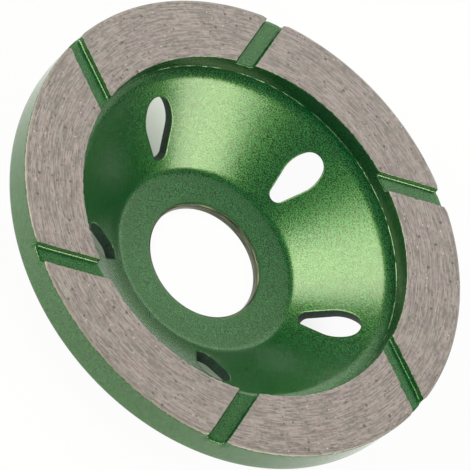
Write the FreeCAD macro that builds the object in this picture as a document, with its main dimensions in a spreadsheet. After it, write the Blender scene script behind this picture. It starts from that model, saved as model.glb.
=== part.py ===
import FreeCAD, Part
import Sketcher
import math
import os

# A diamond cup grinding wheel, 90 mm across, in millimetres.
# The origin is the centre of the bore at the back of the hub, which rests on the surface.
# +Z runs along the bore towards the working face, and one vent is centred on +Y.
# The wheel is a pressed steel cup with a sintered diamond ring moulded onto its flange.
# It is laid out from the bore outwards, so each radius below starts at the one before it.

SIZES = {
    # Pressed cup: sheet, bore, hub, wall, shoulder and the strip of flange inside the ring
    "sheet_thickness": 2.0,
    "bore_radius": 11.115,
    "bore_edge_break": 0.4,
    "hub_land": 6.885,
    "hub_bend_radius": 2.4,
    "wall_slope": 40.0,
    "cup_depth": 11.75,
    "shoulder_bend_radius": 3.8,
    "flange_reveal": 0.1038,
    # Teardrop vents in the wall
    "vent_count": 5,
    "vent_setback": 2.75,
    "vent_length": 11.9,
    "vent_taper": 16.5,
    "vent_tip_radius": 1.5,
    "vent_side_radius": 6.7,
    "vent_nose_radius": 2.65,
    # Sintered ring: seat, working face and the skirt that wraps the flange's edge
    "segment_width": 11.51,
    "ring_height": 3.8,
    "skirt_wall": 1.75,
    "skirt_fit": 0.05,
    "skirt_drop": 0.9,
    "band_draft": 1.5,
    "band_edge_round": 0.5,
    # Skewed slots that part the working face into segments
    "segment_count": 6,
    "slot_width": 3.5,
    "slot_depth": 1.1,
    "slot_wall_draft": 8.0,
    "slot_skew": 22.28,
    "slot_direction": 40.27,
}

# Heights and radii that follow from the driving dimensions
SLOPE = "Sizes.wall_slope * 1deg"
HUB_CORNER = "(Sizes.bore_radius + Sizes.hub_land)"
HUB_BEND_PLACE = f"({HUB_CORNER} - Sizes.hub_bend_radius * tan({SLOPE} / 2))"
WALL_RUN = f"Sizes.cup_depth / tan({SLOPE})"
SHOULDER_PLACE = f"({HUB_CORNER} + {WALL_RUN} + Sizes.shoulder_bend_radius * tan({SLOPE} / 2))"
RING_INNER = f"({SHOULDER_PLACE} + Sizes.flange_reveal)"
RING_OUTER = f"({RING_INNER} + Sizes.segment_width)"
SKIRT_INNER = f"({RING_OUTER} - Sizes.skirt_wall)"
FLANGE_EDGE = f"({SKIRT_INNER} - Sizes.skirt_fit)"
SEAT_HEIGHT = "(Sizes.sheet_thickness + Sizes.cup_depth)"
FACE_HEIGHT = f"({SEAT_HEIGHT} + Sizes.ring_height)"
HEM_HEIGHT = "(Sizes.cup_depth - Sizes.skirt_drop)"
HEM_RADIUS = f"({RING_OUTER} - ({FACE_HEIGHT} - {HEM_HEIGHT}) * tan(Sizes.band_draft * 1deg))"
SLOT_OFFSET = f"({RING_OUTER} * sin(Sizes.slot_skew * 1deg))"

# A cutting sketch starts this many times the sheet or slot depth off the surface.
CLEAR_OF_SURFACE = 1.0
# Two lengths are the same within this.
TOLERANCE = 1e-4
FULL_TURN = 2 * math.pi

# How a sketch numbers the points of an edge, and its own axes
START, END, CENTRE = range(1, 4)
HORIZONTAL_AXIS, VERTICAL_AXIS = range(-1, -3, -1)
ORIGIN = (HORIZONTAL_AXIS, START)


def make_sheet(doc):
    """Put the driving dimensions in a spreadsheet, each under its own alias."""
    sheet = doc.addObject("Spreadsheet::Sheet", "Sizes")
    for row, (alias, value) in enumerate(SIZES.items(), start=1):
        sheet.set(f"A{row}", alias.replace("_", " "))
        sheet.set(f"B{row}", str(value))
        sheet.setAlias(f"B{row}", alias)
    doc.recompute()
    return sheet


def measure(item, formula):
    """What a formula on the driving dimensions gives, as a number."""
    return float(item.evalExpression(formula))


def make_body(doc, name, label):
    """An empty body at the wheel's origin."""
    body = doc.addObject("PartDesign::Body", name)
    body.Label = label
    body.Placement = FreeCAD.Placement()
    return body


def origin_feature(body, role):
    """The body's own origin plane or axis of a given role."""
    for feature in body.Origin.OriginFeatures:
        if feature.Role == role:
            return feature
    raise ValueError(f"{body.Label} has no {role}")


def make_sketch(body, name, plane):
    """An empty sketch on one of the body's origin planes."""
    sketch = body.newObject("Sketcher::SketchObject", name)
    sketch.AttachmentSupport = [(origin_feature(body, plane), "")]
    sketch.MapMode = "FlatFace"
    return sketch


def line(x0, y0, x1, y1):
    """A straight line in the sketch plane."""
    return Part.LineSegment(FreeCAD.Vector(x0, y0, 0), FreeCAD.Vector(x1, y1, 0))


def arc(x, y, radius, start, end):
    """An arc about a centre, anticlockwise between two angles in radians."""
    circle = Part.Circle(FreeCAD.Vector(x, y, 0), FreeCAD.Vector(0, 0, 1), radius)
    return Part.ArcOfCircle(circle, start, end)


def arc_point(x, y, radius, at):
    """The point of a circle at an angle in radians."""
    return x + radius * math.cos(at), y + radius * math.sin(at)


def relate(sketch, kind, *places):
    """Add one geometric relation."""
    sketch.addConstraint(Sketcher.Constraint(kind, *places))


def join_in_a_loop(sketch, edges):
    """Join straight edges end to start, and the last one to the first."""
    for current, following in zip(edges, edges[1:] + edges[:1]):
        relate(sketch, "Coincident", current, END, following, START)


def dimension(sketch, name, kind, places, formula):
    """Add one named dimension and tie it to the driving dimensions."""
    constraint = Sketcher.Constraint(kind, *places, measure(sketch, formula))
    sketch.renameConstraint(sketch.addConstraint(constraint), name)
    sketch.setExpression(f"Constraints.{name}", formula)


def height_above_origin(sketch, name, place, formula):
    """Fix how far a point lies above the sketch's origin."""
    dimension(sketch, name, "DistanceY", (*ORIGIN, *place), formula)


def distance_from_axis(sketch, name, place, formula):
    """Fix how far a point lies to the right of the sketch's origin."""
    dimension(sketch, name, "DistanceX", (*ORIGIN, *place), formula)


def angle_from_level(sketch, name, place, formula):
    """Fix how steeply a straight line climbs, in degrees."""
    constraint = Sketcher.Constraint("Angle", *place, math.radians(measure(sketch, formula)))
    sketch.renameConstraint(sketch.addConstraint(constraint), name)
    sketch.setExpression(f"Constraints.{name}", f"({formula}) * 1deg")


def revolve(body, sketch, name):
    """Turn a section fully round the wheel's axis."""
    revolution = body.newObject("PartDesign::Revolution", name)
    revolution.Profile = sketch
    revolution.ReferenceAxis = (sketch, ["V_Axis"])
    revolution.Angle = math.degrees(FULL_TURN)
    return revolution


def polar_pattern(body, feature, name, count):
    """Repeat a cut evenly round the wheel's axis."""
    pattern = body.newObject("PartDesign::PolarPattern", name)
    pattern.Originals = [feature]
    pattern.Axis = (origin_feature(body, "Z_Axis"), [""])
    pattern.Angle = math.degrees(FULL_TURN)
    pattern.setExpression("Occurrences", count)
    body.Tip = pattern
    return pattern


def circle_names(shape, radius, height):
    """Names of the circular edges of one radius at one height."""
    names = []
    for number, edge in enumerate(shape.Edges, start=1):
        curve = edge.Curve
        if not isinstance(curve, Part.Circle):
            continue
        same_radius = abs(curve.Radius - radius) < TOLERANCE
        same_height = abs(curve.Center.z - height) < TOLERANCE
        if same_radius and same_height:
            names.append(f"Edge{number}")
    if not names:
        raise ValueError(f"no circle of radius {radius} at height {height}")
    return names


def cup_section(body):
    """Half section of the pressed cup: flat hub, sloping wall, rounded shoulder and flat flange."""
    sketch = make_sketch(body, "CupSection", "XZ_Plane")
    thick = measure(sketch, "Sizes.sheet_thickness")
    depth = measure(sketch, "Sizes.cup_depth")
    slope = math.radians(measure(sketch, "Sizes.wall_slope"))
    bore = measure(sketch, "Sizes.bore_radius")
    rim = measure(sketch, FLANGE_EDGE)
    hub_bend = measure(sketch, "Sizes.hub_bend_radius")
    shoulder = measure(sketch, "Sizes.shoulder_bend_radius")
    flange_top = measure(sketch, SEAT_HEIGHT)
    hub_bend_x = measure(sketch, HUB_BEND_PLACE)
    hub_bend_y = thick + hub_bend
    shoulder_x = measure(sketch, SHOULDER_PLACE)
    shoulder_y = flange_top - shoulder
    down = -math.pi / 2
    up = math.pi / 2
    wall_foot = arc_point(hub_bend_x, hub_bend_y, hub_bend, down + slope)
    wall_head = arc_point(shoulder_x, shoulder_y, shoulder, up + slope)
    back_foot = arc_point(hub_bend_x, hub_bend_y, hub_bend + thick, down + slope)
    back_head = arc_point(shoulder_x, shoulder_y, shoulder - thick, up + slope)

    hub_front = sketch.addGeometry(line(bore, thick, hub_bend_x, thick))
    bend_front = sketch.addGeometry(arc(hub_bend_x, hub_bend_y, hub_bend, down, down + slope))
    wall_front = sketch.addGeometry(line(*wall_foot, *wall_head))
    shoulder_front = sketch.addGeometry(arc(shoulder_x, shoulder_y, shoulder, up, up + slope))
    flange_front = sketch.addGeometry(line(shoulder_x, flange_top, rim, flange_top))
    rim_edge = sketch.addGeometry(line(rim, flange_top, rim, depth))
    flange_back = sketch.addGeometry(line(rim, depth, shoulder_x, depth))
    shoulder_back = sketch.addGeometry(arc(shoulder_x, shoulder_y, shoulder - thick, up, up + slope))
    wall_back = sketch.addGeometry(line(*back_head, *back_foot))
    bend_back = sketch.addGeometry(arc(hub_bend_x, hub_bend_y, hub_bend + thick, down, down + slope))
    hub_back = sketch.addGeometry(line(hub_bend_x, 0, bore, 0))
    bore_wall = sketch.addGeometry(line(bore, 0, bore, thick))

    relate(sketch, "Tangent", hub_front, END, bend_front, START)
    relate(sketch, "Tangent", bend_front, END, wall_front, START)
    relate(sketch, "Tangent", wall_front, END, shoulder_front, END)
    relate(sketch, "Tangent", shoulder_front, START, flange_front, START)
    relate(sketch, "Coincident", flange_front, END, rim_edge, START)
    relate(sketch, "Coincident", rim_edge, END, flange_back, START)
    relate(sketch, "Tangent", flange_back, END, shoulder_back, START)
    relate(sketch, "Tangent", shoulder_back, END, wall_back, START)
    relate(sketch, "Tangent", wall_back, END, bend_back, END)
    relate(sketch, "Tangent", bend_back, START, hub_back, START)
    relate(sketch, "Coincident", hub_back, END, bore_wall, START)
    relate(sketch, "Coincident", bore_wall, END, hub_front, START)
    relate(sketch, "Coincident", bend_front, CENTRE, bend_back, CENTRE)
    relate(sketch, "Coincident", shoulder_front, CENTRE, shoulder_back, CENTRE)
    for level in (hub_front, flange_front, hub_back, flange_back):
        relate(sketch, "Horizontal", level)
    relate(sketch, "Vertical", rim_edge)
    relate(sketch, "Vertical", bore_wall)

    distance_from_axis(sketch, "bore", (bore_wall, START), "Sizes.bore_radius")
    distance_from_axis(sketch, "rim", (rim_edge, START), FLANGE_EDGE)
    height_above_origin(sketch, "hub_back", (bore_wall, START), "0")
    height_above_origin(sketch, "hub_front", (bore_wall, END), "Sizes.sheet_thickness")
    height_above_origin(sketch, "flange_back", (rim_edge, END), "Sizes.cup_depth")
    height_above_origin(sketch, "flange_front", (rim_edge, START), SEAT_HEIGHT)
    dimension(sketch, "hub_bend", "Radius", (bend_front,), "Sizes.hub_bend_radius")
    dimension(sketch, "shoulder", "Radius", (shoulder_front,), "Sizes.shoulder_bend_radius")
    distance_from_axis(sketch, "hub_bend_place", (bend_front, CENTRE), HUB_BEND_PLACE)
    distance_from_axis(sketch, "shoulder_place", (shoulder_front, CENTRE), SHOULDER_PLACE)
    return sketch


def lay_on_wall(sketch):
    """Tilt a sketch to the wall's slope, with its origin over the hub corner and clear of the steel."""
    lift = f"{CLEAR_OF_SURFACE} * Sizes.sheet_thickness"
    away_from_axis = f"{HUB_CORNER} - {lift} * sin({SLOPE})"
    above_surface = f"Sizes.sheet_thickness + {lift} * cos({SLOPE})"
    sketch.AttachmentOffset = FreeCAD.Placement(
        FreeCAD.Vector(0, measure(sketch, away_from_axis), measure(sketch, above_surface)),
        FreeCAD.Rotation(FreeCAD.Vector(1, 0, 0), measure(sketch, "Sizes.wall_slope")),
    )
    sketch.setExpression("AttachmentOffset.Base.y", away_from_axis)
    sketch.setExpression("AttachmentOffset.Base.z", above_surface)
    sketch.setExpression("AttachmentOffset.Rotation.Angle", "Sizes.wall_slope")


def vent_outline(body):
    """Teardrop outline in the plane of the wall, with its narrow end towards the hub."""
    sketch = make_sketch(body, "VentOutline", "XY_Plane")
    lay_on_wall(sketch)
    tip_place = "Sizes.vent_setback + Sizes.vent_tip_radius"
    nose_place = "Sizes.vent_setback + Sizes.vent_length - Sizes.vent_nose_radius"
    tip = measure(sketch, "Sizes.vent_tip_radius")
    side = measure(sketch, "Sizes.vent_side_radius")
    nose = measure(sketch, "Sizes.vent_nose_radius")
    tip_y = measure(sketch, tip_place)
    nose_y = measure(sketch, nose_place)
    lean = math.radians(measure(sketch, "Sizes.vent_taper"))
    across = side - tip - (nose_y - tip_y) * math.sin(lean)
    along = math.sqrt((side - nose) ** 2 - across ** 2)
    side_x = across * math.cos(lean) + along * math.sin(lean)
    side_y = nose_y + across * math.sin(lean) - along * math.cos(lean)
    nose_turn = math.atan2(nose_y - side_y, side_x)
    half_turn = FULL_TURN / 2
    right_foot = arc_point(0, tip_y, tip, -lean)
    right_head = arc_point(-side_x, side_y, side, -lean)
    left_head = arc_point(side_x, side_y, side, half_turn + lean)
    left_foot = arc_point(0, tip_y, tip, half_turn + lean)

    tip_arc = sketch.addGeometry(arc(0, tip_y, tip, half_turn + lean, FULL_TURN - lean))
    right_line = sketch.addGeometry(line(*right_foot, *right_head))
    right_arc = sketch.addGeometry(arc(-side_x, side_y, side, -lean, nose_turn))
    nose_arc = sketch.addGeometry(arc(0, nose_y, nose, nose_turn, half_turn - nose_turn))
    left_arc = sketch.addGeometry(arc(side_x, side_y, side, half_turn - nose_turn, half_turn + lean))
    left_line = sketch.addGeometry(line(*left_head, *left_foot))

    relate(sketch, "Tangent", tip_arc, END, right_line, START)
    relate(sketch, "Tangent", right_line, END, right_arc, START)
    relate(sketch, "Tangent", right_arc, END, nose_arc, START)
    relate(sketch, "Tangent", nose_arc, END, left_arc, START)
    relate(sketch, "Tangent", left_arc, END, left_line, START)
    relate(sketch, "Tangent", left_line, END, tip_arc, START)
    relate(sketch, "PointOnObject", tip_arc, CENTRE, VERTICAL_AXIS)
    relate(sketch, "PointOnObject", nose_arc, CENTRE, VERTICAL_AXIS)
    relate(sketch, "Symmetric", left_arc, CENTRE, right_arc, CENTRE, VERTICAL_AXIS)

    dimension(sketch, "tip", "Radius", (tip_arc,), "Sizes.vent_tip_radius")
    dimension(sketch, "side", "Radius", (left_arc,), "Sizes.vent_side_radius")
    dimension(sketch, "nose", "Radius", (nose_arc,), "Sizes.vent_nose_radius")
    angle_from_level(sketch, "flank", (right_line,), "90 - Sizes.vent_taper")
    height_above_origin(sketch, "tip_place", (tip_arc, CENTRE), tip_place)
    height_above_origin(sketch, "nose_place", (nose_arc, CENTRE), nose_place)
    return sketch


def make_steel_cup(doc):
    """Pressed steel cup with a bored hub and a ring of teardrop vents in its wall."""
    body = make_body(doc, "SteelCup", "steel_cup")
    revolve(body, cup_section(body), "CupShell")

    vent = body.newObject("PartDesign::Pocket", "Vent")
    vent.Profile = vent_outline(body)
    vent.Type = "Length"
    vent.setExpression("Length", f"{1 + 2 * CLEAR_OF_SURFACE} * Sizes.sheet_thickness")
    pattern = polar_pattern(body, vent, "Vents", "Sizes.vent_count")
    doc.recompute()

    break_edge = body.newObject("PartDesign::Chamfer", "BoreEdge")
    bore = measure(body, "Sizes.bore_radius")
    break_edge.Base = (pattern, circle_names(pattern.Shape, bore, measure(body, "Sizes.sheet_thickness")))
    break_edge.setExpression("Size", "Sizes.bore_edge_break")
    body.Tip = break_edge
    return body


def ring_section(body):
    """Half section of the ring: it seats on the flange and wraps the flange's edge with a skirt."""
    sketch = make_sketch(body, "RingSection", "XZ_Plane")
    seat = measure(sketch, SEAT_HEIGHT)
    face = measure(sketch, FACE_HEIGHT)
    hem = measure(sketch, HEM_HEIGHT)
    inner = measure(sketch, RING_INNER)
    outer = measure(sketch, RING_OUTER)
    skirt = measure(sketch, SKIRT_INNER)
    hem_outer = measure(sketch, HEM_RADIUS)

    seat_line = sketch.addGeometry(line(skirt, seat, inner, seat))
    inner_wall = sketch.addGeometry(line(inner, seat, inner, face))
    face_line = sketch.addGeometry(line(inner, face, outer, face))
    band = sketch.addGeometry(line(outer, face, hem_outer, hem))
    hem_line = sketch.addGeometry(line(hem_outer, hem, skirt, hem))
    skirt_wall = sketch.addGeometry(line(skirt, hem, skirt, seat))

    join_in_a_loop(sketch, (seat_line, inner_wall, face_line, band, hem_line, skirt_wall))
    for level in (seat_line, face_line, hem_line):
        relate(sketch, "Horizontal", level)
    for upright in (inner_wall, skirt_wall):
        relate(sketch, "Vertical", upright)

    distance_from_axis(sketch, "inner", (inner_wall, START), RING_INNER)
    distance_from_axis(sketch, "outer", (face_line, END), RING_OUTER)
    distance_from_axis(sketch, "skirt", (skirt_wall, START), SKIRT_INNER)
    distance_from_axis(sketch, "hem_outer", (hem_line, START), HEM_RADIUS)
    height_above_origin(sketch, "seat", (seat_line, END), SEAT_HEIGHT)
    height_above_origin(sketch, "face", (face_line, START), FACE_HEIGHT)
    height_above_origin(sketch, "hem", (hem_line, START), HEM_HEIGHT)
    return sketch


def slot_section(body):
    """Cross-section of a slot with drafted walls, set off the axis so that it runs skew to the radius."""
    sketch = make_sketch(body, "SlotSection", "YZ_Plane")
    sketch.AttachmentOffset = FreeCAD.Placement(
        FreeCAD.Vector(0, 0, 0),
        FreeCAD.Rotation(FreeCAD.Vector(0, 1, 0), measure(sketch, "Sizes.slot_direction")),
    )
    sketch.setExpression("AttachmentOffset.Rotation.Angle", "Sizes.slot_direction")

    draft = "tan(Sizes.slot_wall_draft * 1deg)"
    floor_half = f"(Sizes.slot_width / 2 - Sizes.slot_depth * {draft})"
    lip_half = f"(Sizes.slot_width / 2 + {CLEAR_OF_SURFACE} * Sizes.slot_depth * {draft})"
    floor_height = f"{FACE_HEIGHT} - Sizes.slot_depth"
    lip_height = f"{FACE_HEIGHT} + {CLEAR_OF_SURFACE} * Sizes.slot_depth"
    floor_near = measure(sketch, f"{SLOT_OFFSET} - {floor_half}")
    floor_far = measure(sketch, f"{SLOT_OFFSET} + {floor_half}")
    lip_near = measure(sketch, f"{SLOT_OFFSET} - {lip_half}")
    lip_far = measure(sketch, f"{SLOT_OFFSET} + {lip_half}")
    floor = measure(sketch, floor_height)
    lip = measure(sketch, lip_height)

    floor_line = sketch.addGeometry(line(floor_near, floor, floor_far, floor))
    far_wall = sketch.addGeometry(line(floor_far, floor, lip_far, lip))
    lip_line = sketch.addGeometry(line(lip_far, lip, lip_near, lip))
    near_wall = sketch.addGeometry(line(lip_near, lip, floor_near, floor))
    join_in_a_loop(sketch, (floor_line, far_wall, lip_line, near_wall))
    for level in (floor_line, lip_line):
        relate(sketch, "Horizontal", level)

    height_above_origin(sketch, "floor", (floor_line, START), floor_height)
    height_above_origin(sketch, "lip", (lip_line, START), lip_height)
    distance_from_axis(sketch, "floor_near", (floor_line, START), f"{SLOT_OFFSET} - {floor_half}")
    distance_from_axis(sketch, "floor_far", (floor_line, END), f"{SLOT_OFFSET} + {floor_half}")
    distance_from_axis(sketch, "lip_far", (lip_line, START), f"{SLOT_OFFSET} + {lip_half}")
    distance_from_axis(sketch, "lip_near", (lip_line, END), f"{SLOT_OFFSET} - {lip_half}")
    return sketch


def make_diamond_ring(doc):
    """Sintered diamond ring whose face is parted into raised segments by shallow skewed slots."""
    body = make_body(doc, "DiamondRing", "diamond_ring")
    revolve(body, ring_section(body), "RingBlank")

    slot = body.newObject("PartDesign::Pocket", "Slot")
    slot.Profile = slot_section(body)
    slot.Type = "Length"
    slot.Reversed = True
    slot.setExpression("Length", RING_OUTER)
    pattern = polar_pattern(body, slot, "Slots", "Sizes.segment_count")
    doc.recompute()

    soften = body.newObject("PartDesign::Fillet", "BandEdge")
    hem_radius = measure(body, HEM_RADIUS)
    soften.Base = (pattern, circle_names(pattern.Shape, hem_radius, measure(body, HEM_HEIGHT)))
    soften.setExpression("Radius", "Sizes.band_edge_round")
    body.Tip = soften
    return body


def check_document(doc, bodies):
    """Stop if an object failed, a sketch is loose, or a piece isn't one sound solid."""
    for item in doc.Objects:
        if "Invalid" in item.State or "Error" in item.State:
            raise RuntimeError(f"{item.Label} failed: {item.State}")
        if item.isDerivedFrom("Sketcher::SketchObject") and not item.FullyConstrained:
            raise RuntimeError(f"{item.Label} isn't fully constrained")
    for body in bodies:
        shape = body.Shape
        if shape.isNull() or not shape.isValid() or len(shape.Solids) != 1:
            raise RuntimeError(f"{body.Label} isn't one sound solid")


def main():
    """Build the wheel and write each piece to its own file."""
    doc = FreeCAD.newDocument("DiamondCupWheel")
    make_sheet(doc)
    bodies = [make_steel_cup(doc), make_diamond_ring(doc)]
    doc.recompute()
    check_document(doc, bodies)
    os.makedirs("parts", exist_ok=True)
    for body in bodies:
        body.Shape.exportStep(f"parts/{body.Label}.step")
        print(body.Label, "volume", round(body.Shape.Volume, 2), body.Shape.BoundBox)


main()
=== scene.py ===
import logging
import math
from dataclasses import dataclass, field
from enum import IntEnum

import bmesh
import bpy
from mathutils import Matrix, Vector, noise


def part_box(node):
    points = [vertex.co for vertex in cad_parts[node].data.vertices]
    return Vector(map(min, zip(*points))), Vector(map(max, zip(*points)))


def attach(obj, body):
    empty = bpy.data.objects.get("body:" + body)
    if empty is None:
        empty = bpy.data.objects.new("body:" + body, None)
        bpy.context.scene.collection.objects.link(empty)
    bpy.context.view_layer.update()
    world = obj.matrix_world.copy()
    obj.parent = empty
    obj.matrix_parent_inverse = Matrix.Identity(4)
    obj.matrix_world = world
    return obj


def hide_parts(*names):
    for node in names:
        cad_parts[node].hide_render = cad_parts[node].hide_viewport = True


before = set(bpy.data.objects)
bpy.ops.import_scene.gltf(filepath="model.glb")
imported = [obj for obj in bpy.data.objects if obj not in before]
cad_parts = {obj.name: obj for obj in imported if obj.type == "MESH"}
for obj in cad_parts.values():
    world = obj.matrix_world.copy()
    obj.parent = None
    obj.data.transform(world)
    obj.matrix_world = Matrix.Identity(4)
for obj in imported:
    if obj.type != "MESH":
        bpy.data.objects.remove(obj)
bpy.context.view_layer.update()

LOG = logging.getLogger("cup_wheel")

# The sizes below are in millimetres; a mesh is scaled to metres when it is finished.
MM = 0.001
FULL_TURN = 2 * math.pi
WHEEL_AXIS = Vector((0, 0, 1))

# Short names for types that recur; a triple is a colour or a place, a pair a place or two limits.
Triple = tuple[float, float, float]
Pair = tuple[float, float]
Socket = bpy.types.NodeSocket
Node = bpy.types.Node
Material = bpy.types.Material
Shape = bmesh.types.BMesh


class SteelFinish(IntEnum):
    """The material slots of the steel cup, in order."""

    PAINT = 0
    WORN_BORE = 1
    # The vents' cut walls: dark thin paint, partly painted shade.
    VENT_CUT_SHADED = 2


def foot_of(node: str) -> float:
    """A node's lowest point in the frame, in millimetres."""
    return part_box(node)[0][2] / MM


def top_of(node: str) -> float:
    """A node's highest point in the frame, in millimetres."""
    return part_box(node)[1][2] / MM


def clamp(value: float, low: float = 0.0, high: float = 1.0) -> float:
    """Keep a value between two limits."""
    return max(low, min(high, value))


def blend(start: float, end: float, share: float) -> float:
    """The value a share of the way from start to end."""
    return start + (end - start) * share


def smooth_step(low: float, high: float, value: float) -> float:
    """Rise smoothly from 0 at low to 1 at high."""
    share = clamp((value - low) / (high - low))
    return share * share * (3 - 2 * share)


def polar(radius: float, angle: float, height: float) -> Vector:
    """A point given by its distance from the wheel's axis, its angle in radians and its height."""
    return Vector((radius * math.cos(angle), radius * math.sin(angle), height))


def direction(azimuth: float, elevation: float) -> Vector:
    """The unit vector towards an azimuth and an elevation in degrees."""
    rise = math.radians(elevation)
    return polar(math.cos(rise), math.radians(azimuth), math.sin(rise))


def wander(point: Vector, size: float) -> float:
    """Noise between about -1 and 1 at a point, with features of a given size."""
    return noise.noise(point / size)


def add_object(name: str, data: bpy.types.ID) -> bpy.types.Object:
    """Put a new object with its data into the scene, at the origin and unturned."""
    item = bpy.data.objects.new(name, data)
    bpy.context.scene.collection.objects.link(item)
    return item


class Shader:
    """A node material being put together."""

    def __init__(self, name: str) -> None:
        """Start an empty material.

        Args:
            name: The material's name.
        """
        self.material = bpy.data.materials.new(name)
        self.material.use_nodes = True
        self.tree = self.material.node_tree
        self.tree.nodes.clear()
        self.output = self.add("ShaderNodeOutputMaterial")

    def add(self, kind: str, *sources: object, **settings: object) -> Node:
        """Add a node, set its properties and feed its inputs.

        Args:
            kind: The node's type name.
            sources: What its first inputs get, in order.
            settings: Properties of the node by name.

        Returns:
            The new node.
        """
        node = self.tree.nodes.new(kind)
        for name, value in settings.items():
            setattr(node, name, value)
        for target, source in zip(node.inputs, sources):
            self.feed(target, source)
        return node

    def feed(self, target: Socket, source: object) -> None:
        """Give an input either a link or a plain value.

        Args:
            target: The input socket.
            source: An output socket, a number, or a colour or vector.
        """
        if isinstance(source, Socket):
            self.tree.links.new(source, target)
        elif hasattr(target.default_value, "__len__") and len(target.default_value) == 4:
            target.default_value = (*source, 1.0)
        else:
            target.default_value = source

    def object_point(self) -> Socket:
        """The shaded point in the object's own coordinates, in metres."""
        return self.add("ShaderNodeTexCoord").outputs["Object"]

    def attribute(self, name: str) -> Socket:
        """A number stored on the mesh's vertices."""
        return self.add("ShaderNodeAttribute", attribute_name=name).outputs["Fac"]

    def maths(self, operation: str, first: object, second: object = 0.0) -> Socket:
        """Work out one number from one or two others."""
        return self.add("ShaderNodeMath", first, second, operation=operation).outputs["Value"]

    def stretched(self, point: object, scale: Triple) -> Socket:
        """A point scaled by its own factor on each axis."""
        node = self.add("ShaderNodeMapping", point)
        node.inputs["Scale"].default_value = scale
        return node.outputs["Vector"]

    def radius(self) -> Socket:
        """The shaded point's distance from the wheel's axis, in metres."""
        aside = self.stretched(self.object_point(), (1.0, 1.0, 0.0))
        return self.add("ShaderNodeVectorMath", aside, operation="LENGTH").outputs["Value"]

    def rings_point(self, around: float, across: float) -> Socket:
        """A point whose patterns run in rings about the wheel's axis.

        Args:
            around: Scale along the rings, per metre.
            across: Scale from one ring to the next, per metre.

        Returns:
            The socket with the stretched point.
        """
        aside = self.stretched(self.object_point(), (around, around, 0.0))
        parts = self.add("ShaderNodeSeparateXYZ", aside).outputs
        outwards = self.maths("MULTIPLY", self.radius(), across)
        return self.add("ShaderNodeCombineXYZ", parts[0], parts[1], outwards).outputs[0]

    def clouds(self, scale: float = 1.0, detail: float = 2.0, point: object = None) -> Socket:
        """Soft noise between 0 and 1, at the shaded point or at another one."""
        node = self.add("ShaderNodeTexNoise", point or self.object_point())
        node.inputs["Scale"].default_value = scale
        node.inputs["Detail"].default_value = detail
        return node.outputs["Fac"]

    def cells(self, point: object, scale: float, output: str = "Distance") -> Socket:
        """Cells about scattered seeds: the distance to the nearest one, or its own colour."""
        node = self.add("ShaderNodeTexVoronoi", point)
        node.inputs["Scale"].default_value = scale
        return node.outputs[output]

    def ramp(self, value: object, low: float, high: float, start: object = 0.0, end: float = 1.0) -> Socket:
        """Carry a number smoothly from start, at low, to end, at high."""
        node = self.add("ShaderNodeMapRange", value, low, high, start, end, interpolation_type="SMOOTHSTEP")
        return node.outputs["Result"]

    def weighed(self, *parts: tuple[Socket, float]) -> Socket:
        """Add numbers up, each times its own weight."""
        total = 0.0
        for value, weight in parts:
            total = self.maths("ADD", self.maths("MULTIPLY", value, weight), total)
        return total

    def spots(self, scale: float, reach: float, share: float) -> Socket:
        """Round spots about some of a set of scattered seeds, 1 inside and 0 outside.

        Args:
            scale: Seeds per metre.
            reach: A spot's radius as a share of the distance between seeds.
            share: Roughly which share of the seeds have a spot, past about 0.1.

        Returns:
            The socket with the spots.
        """
        point = self.object_point()
        near = self.ramp(self.cells(point, scale), 0.6 * reach, reach, 1.0, 0.0)
        chosen = self.maths("LESS_THAN", self.cells(point, scale, "Color"), share)
        return self.maths("MULTIPLY", near, chosen)

    def mix(self, share: object, first: object, second: object, kind: str = "MIX",
            data: str = "RGBA") -> Socket:
        """Mix two colours or, with other data, two vectors.

        Args:
            share: The share of the second.
            first: The first colour or vector.
            second: The second one.
            kind: How they blend.
            data: RGBA or VECTOR.

        Returns:
            The socket with the mixture.
        """
        node = self.add("ShaderNodeMix", data_type=data, blend_type=kind)
        pair = [socket for socket in node.inputs if socket.type == data][-2:]
        self.feed(node.inputs[0], share)
        self.feed(pair[0], first)
        self.feed(pair[1], second)
        return next(socket for socket in node.outputs if socket.type == data)

    def bump(self, height: object, distance: float, strength: float, below: object = None) -> Socket:
        """Tilt the surface by a height pattern.

        Args:
            height: The pattern, from 0 to 1.
            distance: The pattern's full height in metres.
            strength: How much of the tilt is used.
            below: A bump that this one lies on.

        Returns:
            The socket with the tilted normal.
        """
        node = self.add("ShaderNodeBump")
        node.inputs["Strength"].default_value = strength
        node.inputs["Distance"].default_value = distance
        self.feed(node.inputs["Height"], height)
        if below is not None:
            self.feed(node.inputs["Normal"], below)
        return node.outputs["Normal"]

    def surface(self, **values: object) -> Material:
        """Finish the material with one shaded surface.

        Args:
            values: Inputs of the surface by name, with spaces written as underscores.

        Returns:
            The finished material.
        """
        shader = self.add("ShaderNodeBsdfPrincipled")
        for name, value in values.items():
            self.feed(shader.inputs[name.replace("_", " ")], value)
        self.feed(self.output.inputs["Surface"], shader.outputs[0])
        return self.material


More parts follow.
